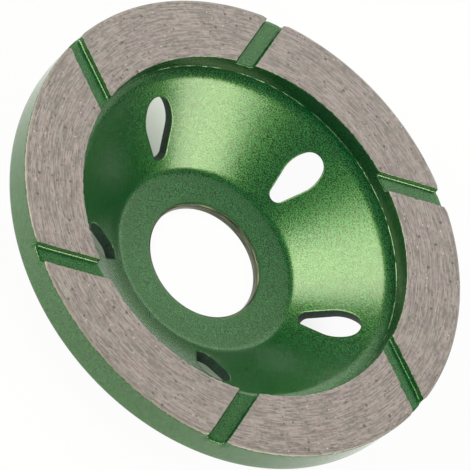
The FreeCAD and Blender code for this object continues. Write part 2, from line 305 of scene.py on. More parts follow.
@dataclass(frozen=True)
class GreenPaint:
    """Clear lacquer over green metal flakes, with a fine sparkling grain."""

    body: Triple = (0.004, 0.18, 0.047)
    deep: Triple = (0.001, 0.055, 0.013)
    flake: Triple = (0.39, 0.26, 0.05)
    deep_flake: Triple = (0.38, 0.58, 0.1)
    flake_index: float = 2.7
    metallic: float = 0.35
    deep_metallic: float = 0.75
    grain_per_metre: float = 5600.0
    grain_limits: Pair = (0.43, 0.57)
    broad_share: float = 0.12
    relief: float = 0.0001
    flake_tilt: float = 0.6
    peel_tilt: float = 0.25
    roughness: float = 0.25
    lacquer_roughness: float = 0.16

    def grain_of(self, shader: Shader) -> Socket:
        """The grain, from 0 in the deep spots to 1 on the bright flakes."""
        fine = shader.clouds(self.grain_per_metre, 1.0)
        broad = shader.clouds(0.2 * self.grain_per_metre)
        both = shader.weighed((fine, 1 - self.broad_share), (broad, self.broad_share))
        return shader.ramp(both, *self.grain_limits)

    def colour_of(self, shader: Shader) -> Socket:
        """The paint's colour, which wanders from flake to flake."""
        return shader.mix(self.grain_of(shader), self.deep, self.body)

    def flake_of(self, shader: Shader) -> Socket:
        """The tint of the flakes' own gloss."""
        return shader.mix(self.grain_of(shader), self.deep_flake, self.flake)

    def metal_of(self, shader: Shader) -> Socket:
        """The share of metal, higher in the deep spots, which keeps the gloss even."""
        return shader.ramp(self.grain_of(shader), 0.0, 1.0, self.deep_metallic, self.metallic)

    def normal_of(self, shader: Shader) -> Socket:
        """The small tilt of each flake."""
        grain = shader.clouds(self.grain_per_metre, 1.0)
        return shader.bump(grain, self.relief, self.flake_tilt)

    def lacquer_normal_of(self, shader: Shader) -> Socket:
        """The fine orange peel of the lacquer."""
        peel = shader.clouds(0.8 * self.grain_per_metre, 1.0)
        return shader.bump(peel, self.relief, self.peel_tilt)

    def build(self) -> Material:
        """Make the material.

        Returns:
            The paint's material.
        """
        shader = Shader("green_paint")
        return shader.surface(
            Base_Color=self.colour_of(shader),
            Metallic=self.metal_of(shader),
            IOR=self.flake_index,
            Specular_Tint=self.flake_of(shader),
            Roughness=self.roughness,
            Normal=self.normal_of(shader),
            Coat_Weight=1.0,
            Coat_Roughness=self.lacquer_roughness,
            Coat_Normal=self.lacquer_normal_of(shader),
        )


@dataclass(frozen=True)
class CutEdge:
    """Dark thin paint on a cut edge, with the marks that the tool left; on the vents, partly painted shade.
    """

    name: str
    dark: Triple
    pale: Triple
    marks_scale: Triple
    marks_detail: float
    marks_limits: Pair
    relief: float
    tilt: float
    roughness: float
    metallic: float

    def build(self) -> Material:
        """Make the material.

        Returns:
            The edge's material.
        """
        shader = Shader(self.name)
        point = shader.stretched(shader.object_point(), self.marks_scale)
        marks = shader.clouds(1.0, self.marks_detail, point)
        return shader.surface(
            Base_Color=shader.mix(shader.ramp(marks, *self.marks_limits), self.dark, self.pale),
            Metallic=self.metallic,
            Roughness=self.roughness,
            Normal=shader.bump(marks, self.relief, self.tilt),
        )


# The vents are punched, with fine upright grooves, and their cut walls are made darker, partly as painted
# shade; the bore is scratched round to the steel.
VENT_CUT_SHADED = CutEdge(
    "vent_cut_shaded", dark=(0.005, 0.018, 0.011), pale=(0.012, 0.045, 0.028), marks_scale=(3000.0, 3000.0, 500.0),
    marks_detail=2.0, marks_limits=(0.35, 0.65), relief=0.0001, tilt=0.6, roughness=0.6, metallic=0.0,
)
WORN_BORE = CutEdge(
    "worn_bore", dark=(0.035, 0.055, 0.03), pale=(0.19, 0.2, 0.13), marks_scale=(260.0, 260.0, 6000.0),
    marks_detail=3.0, marks_limits=(0.42, 0.66), relief=0.00005, tilt=0.5, roughness=0.38, metallic=0.6,
)


@dataclass(frozen=True)
class DiamondMatrix:
    """Sintered metal and grit: ground bare on the working face and painted everywhere else."""

    paint: GreenPaint
    pale: Triple = (0.35, 0.3, 0.285)
    dark: Triple = (0.155, 0.13, 0.12)
    pit: Triple = (0.05, 0.042, 0.032)
    speck: Triple = (0.75, 0.74, 0.66)
    rosy: Triple = (1.02, 0.98, 0.99)
    olive: Triple = (0.98, 1.0, 0.95)
    lip: Triple = (0.22, 0.2, 0.15)
    rim_line: Triple = (0.09, 0.075, 0.055)
    # Painted shade: darker paint for the slots' corners and the ring's inner wall.
    painted_shade: Triple = (0.002, 0.04, 0.011)
    # Painted highlight: pale paint on the flange bead, standing in for its gloss catching the light.
    bead_and_highlight: Triple = (0.28, 0.42, 0.26)
    # Painted shade on the gloss's tint in those corners.
    painted_shade_flake: Triple = (0.06, 0.14, 0.06)
    # Painted highlight on the bead's gloss tint.
    bead_highlight_flake: Triple = (0.7, 1.0, 0.7)
    rim_radius: float = 0.0443
    streak_scales: Pair = (300.0, 3900.0)
    dash_scales: Pair = (700.0, 5200.0)
    large_pits: Triple = (520.0, 0.2, 0.4)
    small_pits: Triple = (1100.0, 0.26, 0.2)
    grit: Triple = (1300.0, 0.24, 0.2)
    bare_metallic: float = 0.3
    bare_roughness: float = 0.55

    def ground_colour(self, shader: Shader, streak: object, pits: object) -> Socket:
        """The bare face: mottled, streaked round, with dark pits, pale grit and a worn rim.

        Args:
            shader: The material being made.
            streak: The fine marks round the axis.
            pits: The dark pits.

        Returns:
            The socket with the colour.
        """
        mottle = shader.clouds(1500.0, 3.0)
        blotch = shader.clouds(240.0)
        tone = shader.weighed((streak, 0.62), (mottle, 0.27), (blotch, 0.11))
        colour = shader.mix(shader.ramp(tone, 0.37, 0.62), self.dark, self.pale)
        hue = shader.mix(shader.ramp(shader.clouds(420.0, 1.0), 0.4, 0.6), self.rosy, self.olive)
        colour = shader.mix(1.0, colour, hue, "MULTIPLY")
        dash = shader.clouds(1.0, 1.0, shader.rings_point(*self.dash_scales))
        dash = shader.ramp(dash, 0.32, 0.39, 0.75, 0.0)
        dark = shader.maths("MAXIMUM", dash, shader.maths("MULTIPLY", pits, 0.95))
        colour = shader.mix(dark, colour, self.pit)
        grit = shader.maths("MULTIPLY", shader.spots(*self.grit), 0.6)
        colour = shader.mix(grit, colour, self.speck)
        broken = shader.ramp(shader.clouds(900.0), 0.38, 0.62)
        edge = shader.maths("MULTIPLY", shader.attribute("lip"), broken)
        colour = shader.mix(shader.maths("MULTIPLY", edge, 0.75), colour, self.lip)
        away = shader.maths("ABSOLUTE", shader.maths("SUBTRACT", shader.radius(), self.rim_radius))
        line = shader.maths("MULTIPLY", shader.ramp(away, 0.00004, 0.00018, 0.75, 0.0), broken)
        return shader.mix(line, colour, self.rim_line)

    def painted_colour(self, shader: Shader) -> Socket:
        """Paint with painted shade in the slots' corners and inner wall, and a painted highlight on the
        flange bead.
        """
        # Painted shade: the paint darkens in the slots' corners and on the ring's inner wall.
        colour = shader.mix(shader.maths("MULTIPLY", shader.attribute("painted_shade"), 0.75),
                            self.paint.colour_of(shader), self.painted_shade)
        # Painted highlight: the paint turns pale on the bead.
        return shader.mix(shader.attribute("seam_highlight"), colour, self.bead_and_highlight)

    def painted_flake(self, shader: Shader) -> Socket:
        """The tint of the paint's gloss, dulled as painted shade in the corners and paled as a painted
        highlight on the bead.
        """
        flake = shader.mix(shader.attribute("painted_shade"), self.paint.flake_of(shader), self.painted_shade_flake)
        return shader.mix(shader.attribute("seam_highlight"), flake, self.bead_highlight_flake)

    def build(self) -> Material:
        """Make the material.

        Returns:
            The ring's material.
        """
        shader = Shader("diamond_matrix")
        ragged = shader.maths("SUBTRACT", shader.clouds(1700.0, 3.0), 0.5)
        bare = shader.ramp(shader.maths("ADD", shader.attribute("bare"), ragged), 0.4, 0.6)
        streak = shader.clouds(1.0, 3.0, shader.rings_point(*self.streak_scales))
        pits = shader.maths("MAXIMUM", shader.spots(*self.large_pits), shader.spots(*self.small_pits))
        scratched = shader.bump(streak, 0.00005, 0.7)
        pitted = shader.bump(pits, -0.00006, 0.6, scratched)
        ground = self.ground_colour(shader, streak, pits)
        return shader.surface(
            Base_Color=shader.mix(bare, self.painted_colour(shader), ground),
            Metallic=shader.ramp(bare, 0.0, 1.0, self.paint.metal_of(shader), self.bare_metallic),
            IOR=self.paint.flake_index,
            Specular_Tint=shader.mix(bare, self.painted_flake(shader), (1.0, 1.0, 1.0)),
            Roughness=shader.ramp(bare, 0.0, 1.0, self.paint.roughness, self.bare_roughness),
            Normal=shader.mix(bare, self.paint.normal_of(shader), pitted, data="VECTOR"),
            Coat_Weight=shader.ramp(bare, 0.0, 1.0, 1.0, 0.0),
            Coat_Roughness=self.paint.lacquer_roughness,
            Coat_Normal=self.paint.lacquer_normal_of(shader),
        )


@dataclass(frozen=True)
class StudioPaper:
    """White paper that shows near white to the camera and in reflections, and still takes a shadow.

    Under the cup, outside the hub and on the side away from the light, its lift fades in a set pattern,
    a painted shadow that lets the real shade there show, and its glow turns green there as a painted
    reflection of the cup. Seen from below, the paper is clear, so that the wheel's back shows.
    """

    colour: Triple = (0.82, 0.82, 0.81)
    lift: float = 0.95
    shade: float = 0.84
    painted_green_reflection: Triple = (0.9, 1.0, 0.78)
    shade_side: Triple = (-0.35, -0.94, 0.0)
    shade_first: float = -0.024
    shade_full: float = 0.009
    hub_limits: Pair = (0.0125, 0.0135)
    cup_middle: Triple = (0.0, 0.009, 0.0)
    cup_limits: Pair = (0.033, 0.042)

    def shade_of(self, shader: Shader) -> Socket:
        """How much of the lift is lost at a point of the paper: a painted shadow under the cup."""
        point = shader.object_point()
        aside = shader.add("ShaderNodeVectorMath", point, self.shade_side, operation="DOT_PRODUCT")
        depth = shader.ramp(aside.outputs["Value"], self.shade_first, self.shade_full, 0.0, self.shade)
        outside = shader.ramp(shader.radius(), *self.hub_limits)
        away = shader.add("ShaderNodeVectorMath", point, self.cup_middle, operation="DISTANCE")
        under = shader.ramp(away.outputs["Value"], *self.cup_limits, 1.0, 0.0)
        return shader.maths("MULTIPLY", depth, shader.maths("MULTIPLY", outside, under))

    def build(self) -> Material:
        """Make the material.

        Returns:
            The paper's material.
        """
        shader = Shader("studio_paper")
        paper = shader.add("ShaderNodeBsdfDiffuse", self.colour).outputs[0]
        shade = self.shade_of(shader)
        # Painted reflection: where shaded, the glow is tinted green as if lit by the cup's paint.
        glow_colour = shader.mix(shade, (1.0, 1.0, 1.0), self.painted_green_reflection)
        glow = shader.add("ShaderNodeEmission", glow_colour).outputs[0]
        rays = shader.add("ShaderNodeLightPath")
        seen = shader.maths("MAXIMUM", rays.outputs["Is Camera Ray"], rays.outputs["Is Glossy Ray"])
        seen = shader.maths("MAXIMUM", seen, rays.outputs["Is Transmission Ray"])
        lifted = shader.maths("MULTIPLY", self.lift, shader.maths("SUBTRACT", 1.0, shade))
        glowing = shader.maths("MULTIPLY", seen, lifted)
        front = shader.add("ShaderNodeMixShader", glowing, paper, glow).outputs[0]
        clear = shader.add("ShaderNodeBsdfTransparent").outputs[0]
        back = shader.add("ShaderNodeNewGeometry").outputs["Backfacing"]
        surface = shader.add("ShaderNodeMixShader", back, front, clear).outputs[0]
        shader.feed(shader.output.inputs["Surface"], surface)
        return shader.material


def finish_piece(shape: Shape, name: str, node: str, materials: list) -> bpy.types.Object:
    """Turn a modelled shape into the piece that stands for a node of the frame.

    Args:
        shape: The shape, in millimetres, with its faces pointing outwards.
        name: The piece's name.
        node: The node that it replaces.
        materials: The piece's materials, in slot order.

    Returns:
        The piece.
    """
    bmesh.ops.scale(shape, vec=(MM, MM, MM), verts=shape.verts)
    for face in shape.faces:
        face.smooth = True
    mesh = bpy.data.meshes.new(name)
    shape.to_mesh(mesh)
    shape.free()
    for material in materials:
        mesh.materials.append(material)
    piece = add_object(name, mesh)
    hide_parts(node)
    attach(piece, "root")
    mesh.calc_loop_triangles()
    LOG.info("%s: %d triangles", name, len(mesh.loop_triangles))
    return piece


def spin_section(shape: Shape, section: list[Pair], steps: int, closed: bool = False) -> None:
    """Turn a section fully round the wheel's axis.

    Args:
        shape: The mesh that takes the surface.
        section: Radius and height of each of its points.
        steps: The number of columns round the axis.
        closed: Whether the last point is joined to the first.
    """
    verts = [bmesh.ops.create_vert(shape, co=(radius, 0, height))["vert"][0] for radius, height in section]
    ends = verts[1:] + verts[:1] if closed else verts[1:]
    edges = [shape.edges.new(pair) for pair in zip(verts, ends)]
    bmesh.ops.spin(shape, geom=verts + edges, cent=(0, 0, 0), axis=WHEEL_AXIS, angle=FULL_TURN,
                   steps=steps, use_merge=True, use_duplicate=False)


def turn_faces_up(shape: Shape) -> None:
    """Make the faces of an open sheet agree, with its front upwards."""
    bmesh.ops.recalc_face_normals(shape, faces=shape.faces)
    if sum(face.normal.z for face in shape.faces) < 0:
        bmesh.ops.reverse_faces(shape, faces=shape.faces)


def arc_point(centre: Pair, radius: float, angle: float) -> Pair:
    """The point of a circle at an angle in radians."""
    return centre[0] + radius * math.cos(angle), centre[1] + radius * math.sin(angle)


def arc_points(centre: Pair, radius: float, start: float, end: float, steps: int) -> list[Pair]:
    """Points along an arc, ends included, with angles in degrees."""
    angles = [math.radians(blend(start, end, step / steps)) for step in range(steps + 1)]
    return [arc_point(centre, radius, angle) for angle in angles]


@dataclass
class Vent:
    """Teardrop vent, laid out flat on the unrolled wall with its narrow end towards the hub."""

    setback: float = 2.75
    length: float = 11.9
    taper: float = 16.5
    tip_radius: float = 1.5
    side_radius: float = 6.7
    nose_radius: float = 2.65

    def half_outline(self, outset: float) -> list[tuple[Pair, float, float, float]]:
        """The right half's arcs from tip to nose, each a centre, a radius and its two angles.

        Args:
            outset: How far outside the vent the outline runs.

        Returns:
            The arcs; the straight flank lies between the first two.
        """
        lean = math.radians(self.taper)
        tip_y = self.setback + self.tip_radius
        nose_y = self.setback + self.length - self.nose_radius
        across = self.side_radius - self.tip_radius - (nose_y - tip_y) * math.sin(lean)
        along = math.sqrt((self.side_radius - self.nose_radius) ** 2 - across ** 2)
        side_x = across * math.cos(lean) + along * math.sin(lean)
        side_y = nose_y + across * math.sin(lean) - along * math.cos(lean)
        nose_turn = math.atan2(nose_y - side_y, side_x)
        return [
            ((0.0, tip_y), self.tip_radius + outset, -math.pi / 2, -lean),
            ((-side_x, side_y), self.side_radius + outset, -lean, nose_turn),
            ((0.0, nose_y), self.nose_radius + outset, nose_turn, math.pi / 2),
        ]

    def flank(self, arcs: list) -> tuple[Pair, Pair]:
        """The ends of the straight flank, which joins the first two arcs."""
        (centre, radius, _, angle), (next_centre, next_radius, next_angle, _) = arcs[:2]
        return arc_point(centre, radius, angle), arc_point(next_centre, next_radius, next_angle)

    def outline_point(self, share: float, outset: float) -> Pair:
        """A point of the outline.

        Args:
            share: How far round from the tip, anticlockwise, from 0 to 1.
            outset: How far outside the vent the outline runs.

        Returns:
            The point across and along the wall.
        """
        side = 1 if share <= 0.5 else -1
        walk = 2 * min(share, 1 - share)
        arcs = self.half_outline(0.0)
        lengths = [radius * (end - start) for _, radius, start, end in arcs]
        lengths.insert(1, math.dist(*self.flank(arcs)))
        left = walk * sum(lengths)
        for number, length in enumerate(lengths):
            if left <= length or number == len(lengths) - 1:
                part = clamp(left / length)
                break
            left -= length
        outer = self.half_outline(outset)
        if number == 1:
            (x0, y0), (x1, y1) = self.flank(outer)
            return side * blend(x0, x1, part), blend(y0, y1, part)
        centre, radius, start, end = outer[max(0, number - 1)]
        across, along = arc_point(centre, radius, blend(start, end, part))
        return side * across, along


@dataclass
class SteelCup:
    """Pressed steel cup: hub, bore, sloping wall with vents, shoulder and flange, in one sheet."""

    paint: Material
    worn: Material
    cut: Material
    depth: float = 11.75
    thickness: float = top_of("steel_cup") - depth
    bore_radius: float = 11.115
    bore_edge_break: float = 0.4
    hub_corner_radius: float = 18.0
    hub_dish: float = 0.24
    hub_bend_radius: float = 2.4
    wall_slope: float = 40.0
    shoulder_radius: float = 3.8
    flange_radius: float = 43.2
    vent_count: int = 5
    vent: Vent = field(default_factory=Vent)
    vent_edge_round: float = 0.22
    columns: int = 360
    side_steps: int = 24
    ring_steps: int = 10
    edge_rings: Pair = (0.42, 0.95)
    sharp_angle: float = 60.0
    weld_distance: float = 0.002
    cut_lean: float = 0.3

    @property
    def slope(self) -> float:
        """The wall's slope in radians."""
        return math.radians(self.wall_slope)

    @property
    def wall_start(self) -> float:
        """Where the straight wall starts, measured up the slope from the hub corner."""
        return self.hub_bend_radius * math.tan(self.slope / 2)

    @property
    def wall_end(self) -> float:
        """Where the straight wall ends, measured up the slope from the hub corner."""
        return self.depth / math.sin(self.slope) - self.shoulder_radius * math.tan(self.slope / 2)

    def wall_point(self, along: float) -> Pair:
        """Radius and height of the wall's front, a distance up the slope from the hub corner."""
        radius = self.hub_corner_radius + along * math.cos(self.slope)
        return radius, self.thickness + along * math.sin(self.slope)

    def add_hub(self, shape: Shape) -> None:
        """Spin the flat hub and the bend at the foot of the wall."""
        bend_x = self.hub_corner_radius - self.wall_start
        clear = self.bore_radius + 2 * self.bore_edge_break
        middle = [blend(clear, bend_x, share) for share in (0.33, 0.67)]
        flat = [self.bore_radius, clear, *middle, bend_x - 0.3]
        centre = (bend_x, self.thickness + self.hub_bend_radius)
        bend = arc_points(centre, self.hub_bend_radius, -90, -90 + self.wall_slope, 6)
        spin_section(shape, [(radius, self.thickness) for radius in flat] + bend, self.columns)

    def add_shoulder(self, shape: Shape) -> None:
        """Spin the rounded shoulder and the flange under the ring."""
        top = self.thickness + self.depth
        centre_x = self.wall_point(self.wall_end)[0] + self.shoulder_radius * math.sin(self.slope)
        centre = (centre_x, top - self.shoulder_radius)
        bend = arc_points(centre, self.shoulder_radius, 90 + self.wall_slope, 90, 10)
        edge = self.flange_radius
        flat = [centre_x + 0.4, blend(centre_x, edge, 0.5), edge - 0.8, edge]
        spin_section(shape, bend + [(radius, top) for radius in flat], self.columns)

    def border_point(self, share: float) -> Pair:
        """A point on the edge of one vent's panel of wall.

        Args:
            share: How far round the panel from the middle of its foot, anticlockwise, from 0 to 1.

        Returns:
            The angle from the panel's middle, in radians, and the place up the slope.
        """
        half_angle = math.pi / self.vent_count
        foot = self.columns // self.vent_count
        side = self.side_steps
        low, high = self.wall_start, self.wall_end
        step = share * 2 * (foot + side)
        corners = [0.0, foot / 2, foot / 2 + side, 1.5 * foot + side, 1.5 * foot + 2 * side,
                   2 * (foot + side)]
        turns = (0.0, half_angle, half_angle, -half_angle, -half_angle, 0.0)
        places = list(zip(turns, (low, low, high, high, low, low)))
        leg = max(i for i in range(len(corners) - 1) if corners[i] <= step + 1e-9)
        part = (step - corners[leg]) / (corners[leg + 1] - corners[leg])
        return tuple(blend(a, b, part) for a, b in zip(places[leg], places[leg + 1]))

    def outline_on_wall(self, share: float, outset: float) -> Pair:
        """A point of a vent's outline: the angle from the panel's middle and the place up the slope."""
        across, along = self.vent.outline_point(share, outset)
        return across / self.wall_point(along)[0], along

    def ring_point(self, share: float, ring: int) -> Vector:
        """A point of one of the rings that lead from a vent's edge out to its panel's border."""
        if ring < 1 + len(self.edge_rings):
            turn, along = self.outline_on_wall(share, (0.0, *self.edge_rings)[ring])
        else:
            part = (ring - len(self.edge_rings)) / self.ring_steps
            inner = self.outline_on_wall(share, self.edge_rings[-1])
            border = self.border_point(share)
            turn, along = (blend(a, b, part) for a, b in zip(inner, border))
        radius, height = self.wall_point(along)
        return polar(radius, math.pi / 2 + turn, height)

    def add_wall(self, shape: Shape) -> None:
        """Lay a panel of wall round one vent, and repeat it round the axis."""
        segments = 2 * (self.columns // self.vent_count + self.side_steps)
        verts = bmesh.ops.create_circle(shape, segments=segments, radius=1.0)["verts"]
        loop = list({edge for vert in verts for edge in vert.link_edges})
        rings = {vert: 0 for vert in verts}
        for ring in range(1, len(self.edge_rings) + self.ring_steps + 1):
            made = bmesh.ops.extrude_edge_only(shape, edges=loop)["geom"]
            loop = [item for item in made if isinstance(item, bmesh.types.BMEdge)]
            rings.update((item, ring) for item in made if isinstance(item, bmesh.types.BMVert))
        for vert, ring in rings.items():
            share = (math.atan2(vert.co.y, vert.co.x) / FULL_TURN) % 1.0
            vert.co = self.ring_point(share, ring)
        panel = list({face for vert in rings for face in vert.link_faces})
        copies = self.vent_count - 1
        bmesh.ops.spin(shape, geom=panel, cent=(0, 0, 0), axis=WHEEL_AXIS,
                       angle=FULL_TURN / self.vent_count * copies, steps=copies, use_merge=False,
                       use_duplicate=True)

    def round_edges(self, shape: Shape) -> None:
        """Round the sheet's cut edges: more at the front of the bore, less elsewhere."""
        least = math.radians(self.sharp_angle)
        sharp = [e for e in shape.edges if len(e.link_faces) == 2 and e.calc_face_angle() > least]
        bore_front = [e for e in sharp if all(
            v.co.xy.length < self.bore_radius + 0.1 and v.co.z > self.thickness - 0.1 for v in e.verts)]
        others = list(set(sharp) - set(bore_front))
        for edges, offset in ((bore_front, self.bore_edge_break), (others, self.vent_edge_round)):
            bmesh.ops.bevel(shape, geom=edges, offset=offset, offset_type="OFFSET", affect="EDGES",
                            segments=3, profile=0.5, material=-1, clamp_overlap=False)

    def dish_hub(self, shape: Shape) -> None:
        """Press the front of the hub slightly lower towards the bore."""
        edge = self.hub_corner_radius - self.wall_start
        for vert in shape.verts:
            radius = vert.co.xy.length
            if radius < edge and vert.co.z > self.thickness / 2:
                vert.co.z -= self.hub_dish * (edge - radius) / (edge - self.bore_radius)

    def mark_cuts(self, shape: Shape) -> None:
        """Mark the worn bore with its edge break, and the punched edges of the vents."""
        worn_radius = self.bore_radius + 0.8 * self.bore_edge_break
        wall_foot = self.wall_point(self.wall_start)[0]
        wall_head = self.wall_point(self.wall_end)[0] + self.thickness
        for face in shape.faces:
            middle = face.calc_center_median()
            radius = middle.xy.length
            if radius < worn_radius:
                face.material_index = SteelFinish.WORN_BORE
            elif wall_foot < radius < wall_head:
                upright = polar(-math.sin(self.slope), math.atan2(middle.y, middle.x), math.cos(self.slope))
                if abs(face.normal.dot(upright)) < self.cut_lean:
                    # The vents' cut walls take the darker material, partly painted shade.
                    face.material_index = SteelFinish.VENT_CUT_SHADED

    def build(self) -> bpy.types.Object:
        """Model the cup.

        Returns:
            The piece that stands for the steel cup.
        """
        shape = bmesh.new()
        self.add_hub(shape)
        self.add_shoulder(shape)
        self.add_wall(shape)
        bmesh.ops.remove_doubles(shape, verts=shape.verts, dist=self.weld_distance)
        turn_faces_up(shape)
        bmesh.ops.solidify(shape, geom=shape.faces, thickness=self.thickness)
        self.round_edges(shape)
        self.dish_hub(shape)
        shape.normal_update()
        self.mark_cuts(shape)
        finishes = [self.paint, self.worn, self.cut]
        return finish_piece(shape, "steel_cup_shell", "steel_cup", finishes)


@dataclass
class DiamondRing:
    """Sintered ring with raised segments parted by skewed slots."""

    finish: Material
    inner_radius: float = 33.49
    outer_radius: float = 45.0
    seat_height: float = top_of("steel_cup")
    face_height: float = top_of("diamond_ring")
    hem_height: float = foot_of("diamond_ring")
    skirt_radius: float = 43.25
    rim_wear: tuple[Pair, ...] = ((0.6, 0.0), (0.36, 0.03), (0.19, 0.08), (0.08, 0.16))
    corner_cut: float = 0.25
    corner_reach: float = 0.5
    corner_band: Pair = (2.5, 0.2)
    corner_fade: Pair = (0.6, 1.8)
    band_draft: float = 1.5
    hem_round: float = 0.5
    segment_count: int = 6
    slot_width: float = 3.5
    slot_depth: float = 1.1
    slot_wall_draft: float = 8.0
    slot_wall_depth: float = 0.84
    slot_foot_slope: float = 50.0
    slot_skew: float = 22.28
    slot_direction: float = 40.27
    sector_columns: int = 170
    slot_steps: tuple[float, ...] = (
        0.0, 0.6, 1.0, 1.1, 1.16, 1.25, 1.35, 1.45, 1.55, 1.62, 1.663, 1.69, 1.72, 1.75, 1.79, 1.9,
        2.1, 2.35,
    )
    seam_steps: tuple[float, ...] = (0.0, 0.05, 0.1, 0.16, 0.24, 0.5)
    wall_shares: tuple[float, ...] = (0.15, 0.32, 0.5, 0.68, 0.82, 0.94)
    band_steps: tuple[float, ...] = (0.3, 0.5, 0.8, 1.1, 1.6, 2.2, 2.8, 3.4, 4.0, 4.6, 5.2, 5.8)
    face_steps: int = 42
    lip_limits: Pair = (0.1, 0.6)
    rim_lip: float = 0.45
    bead_height: float = 0.16
    pit_spacing: float = 1.1
    pit_share: float = 0.72
    pit_depth_most: float = 0.14
    roughness_depth: float = 0.012
    # Shares of painted shade on the slots' wall tops and feet, and on the ring's inner wall.
    wall_painted_shade: float = 0.4
    foot_painted_shade: float = 0.25
    mouth_painted_shade: float = 0.75
    tolerance: float = 0.001

    @property
    def slot_offset(self) -> float:
        """How far a slot's centreline passes from the wheel's axis."""
        return self.outer_radius * math.sin(math.radians(self.slot_skew))

    def band_radius(self, height: float) -> float:
        """The outer wall's radius at a height."""
        return self.outer_radius - (self.face_height - height) * math.tan(math.radians(self.band_draft))

    def section(self) -> list:
        """Radius and height of the blank's section, as a closed loop of points."""
        hem_outer = self.band_radius(self.hem_height)
        height = self.face_height - self.seat_height
        seam_top = self.seam_steps[-1]
        rises = [*self.seam_steps, *(blend(seam_top, height, share) for share in self.wall_shares)]
        inner = [(self.inner_radius, self.seat_height + rise) for rise in rises]
        rim = self.outer_radius - self.rim_wear[0][0]
        face = [(blend(self.inner_radius, rim, step / self.face_steps), self.face_height)
                for step in range(self.face_steps)]
        face += [(self.outer_radius - inset, self.face_height - low) for inset, low in self.rim_wear]
        heights = [self.face_height - low for low in self.band_steps]
        band = [(self.band_radius(place), place) for place in heights]
        centre = (hem_outer - self.hem_round, self.hem_height + self.hem_round)
        hem = arc_points(centre, self.hem_round, -self.band_draft, -90, 5)
        low, high = self.hem_height, self.seat_height
        skirt = [(self.skirt_radius, blend(low, high, share)) for share in (0, 0.5, 1)]
        seat = [(blend(self.skirt_radius, self.inner_radius, step / 3), self.seat_height) for step in (1, 2)]
        return inner + face + band + hem + skirt + seat

    def slot_drop(self, inside: float) -> float:
        """How far a slot lies below the working face, a distance inside its lip.

        Args:
            inside: The distance from the slot's lip towards its centreline, less than 0 outside.

        Returns:
            The depth: a steep wall, a sloping foot and the flat floor.
        """
        if inside <= 0:
            return 0.0
        wall = self.slot_wall_depth * math.tan(math.radians(self.slot_wall_draft))
        if inside < wall:
            return self.slot_wall_depth * inside / wall
        foot = (inside - wall) * math.tan(math.radians(self.slot_foot_slope))
        return min(self.slot_depth, self.slot_wall_depth + foot)

    def column_place(self, column: int, radius: float) -> Pair:
        """Where a column of the blank goes once the slots are in.

        Args:
            column: The column's number within its sector, from the slot's centreline.
            radius: The point's distance from the axis.

        Returns:
            The angle from the sector's slot direction, in radians, and the distance from the nearest
            slot's centreline.
        """
        steps = len(self.slot_steps) - 1
        sector = FULL_TURN / self.segment_count
        from_next = self.sector_columns - column

        def turn(across: float) -> float:
            """The angle at which the radius meets a line beside the slot's centreline."""
            return math.asin((self.slot_offset + across) / radius)

        if column <= steps:
            across = self.slot_steps[column]
            return turn(across), across
        if from_next <= steps:
            across = -self.slot_steps[from_next]
            return sector + turn(across), across
        part = (column - steps) / (self.sector_columns - 2 * steps)
        angle = blend(turn(self.slot_steps[-1]), sector + turn(-self.slot_steps[-1]), part)
        nearest = min(abs(angle - turn(0.0)), abs(angle - sector - turn(0.0)))
        return angle, radius * nearest

    def press(self, shape: Shape) -> None:
        """Move the blank's columns to the skewed slots, sink the slots and wear the working face."""
        names = ("bare", "lip", "painted_shade", "seam_highlight")
        bare, lip, painted_shade, seam_highlight = (shape.verts.layers.float.new(name) for name in names)
        total = self.sector_columns * self.segment_count
        for vert in shape.verts:
            radius = vert.co.xy.length
            height = vert.co.z
            turn = round(math.atan2(vert.co.y, vert.co.x) / FULL_TURN * total) % total
            sector, column = divmod(turn, self.sector_columns)
            angle, across = self.column_place(column, radius)
            angle += math.radians(self.slot_direction) + sector * FULL_TURN / self.segment_count
            inside = self.slot_width / 2 - abs(across)
            below = self.face_height - height
            drop = self.slot_drop(inside)
            rise = clamp((height - self.seat_height) / (self.face_height - self.seat_height))
            round_off = self.corner_cut * math.exp(-(inside / self.corner_reach) ** 2)
            round_off *= smooth_step(*(self.outer_radius - inset for inset in self.corner_band), radius)
            round_off *= 1 - smooth_step(*self.corner_fade, below)
            bead_and_highlight = self.bead_at(polar(radius, angle, height), radius, height)
            place = polar(radius - round_off - self.bead_height * bead_and_highlight, angle, height - drop * rise)
            vert[bare] = self.bareness(radius, below, inside, drop)
            if below < 0.01 and drop < 0.02:
                edge = min(-inside, radius - self.inner_radius, self.outer_radius - radius)
                place.z -= self.pit_depth(place, edge)
                vert[lip] = 1 - smooth_step(*self.lip_limits, -inside)
            if radius > self.outer_radius - self.rim_lip:
                vert[lip] = 1.0
            # Painted shade: darker paint at the slots' wall tops and feet, and on the ring's inner wall
            # below.
            if below < 0.2:
                on_wall = smooth_step(0.0, 0.04, inside) * (1 - smooth_step(0.1, 0.2, inside))
                at_foot = math.exp(-((inside - 0.4) / 0.1) ** 2)
                vert[painted_shade] = self.wall_painted_shade * on_wall + self.foot_painted_shade * at_foot
            elif radius < self.inner_radius + self.tolerance:
                vert[painted_shade] = self.mouth_painted_shade
            # The bead's fullness also sets where the paint is paled as a painted highlight.
            vert[seam_highlight] = bead_and_highlight
            vert.co = place

    def bareness(self, radius: float, below: float, inside: float, drop: float) -> float:
        """How surely a point is ground bare, about 0.5 where the paint's ragged edge runs.

        Args:
            radius: The point's distance from the axis.
            below: Its distance under the working face before the slots are sunk.
            inside: Its distance inside the nearest slot's lip.
            drop: How far the slot sinks it.

        Returns:
            The share from 0, painted, to 1, bare.
        """
        to_rim = clamp(0.8 + (self.outer_radius - radius) - 1.5 * below)
        to_mouth = clamp(0.5 + 1.6 * (radius - self.inner_radius) - 1.5 * below)
        to_slot = clamp(0.5 - 1.6 * inside) if drop == 0 else clamp(0.5 - 3 * drop)
        return min(to_rim, to_mouth, to_slot)

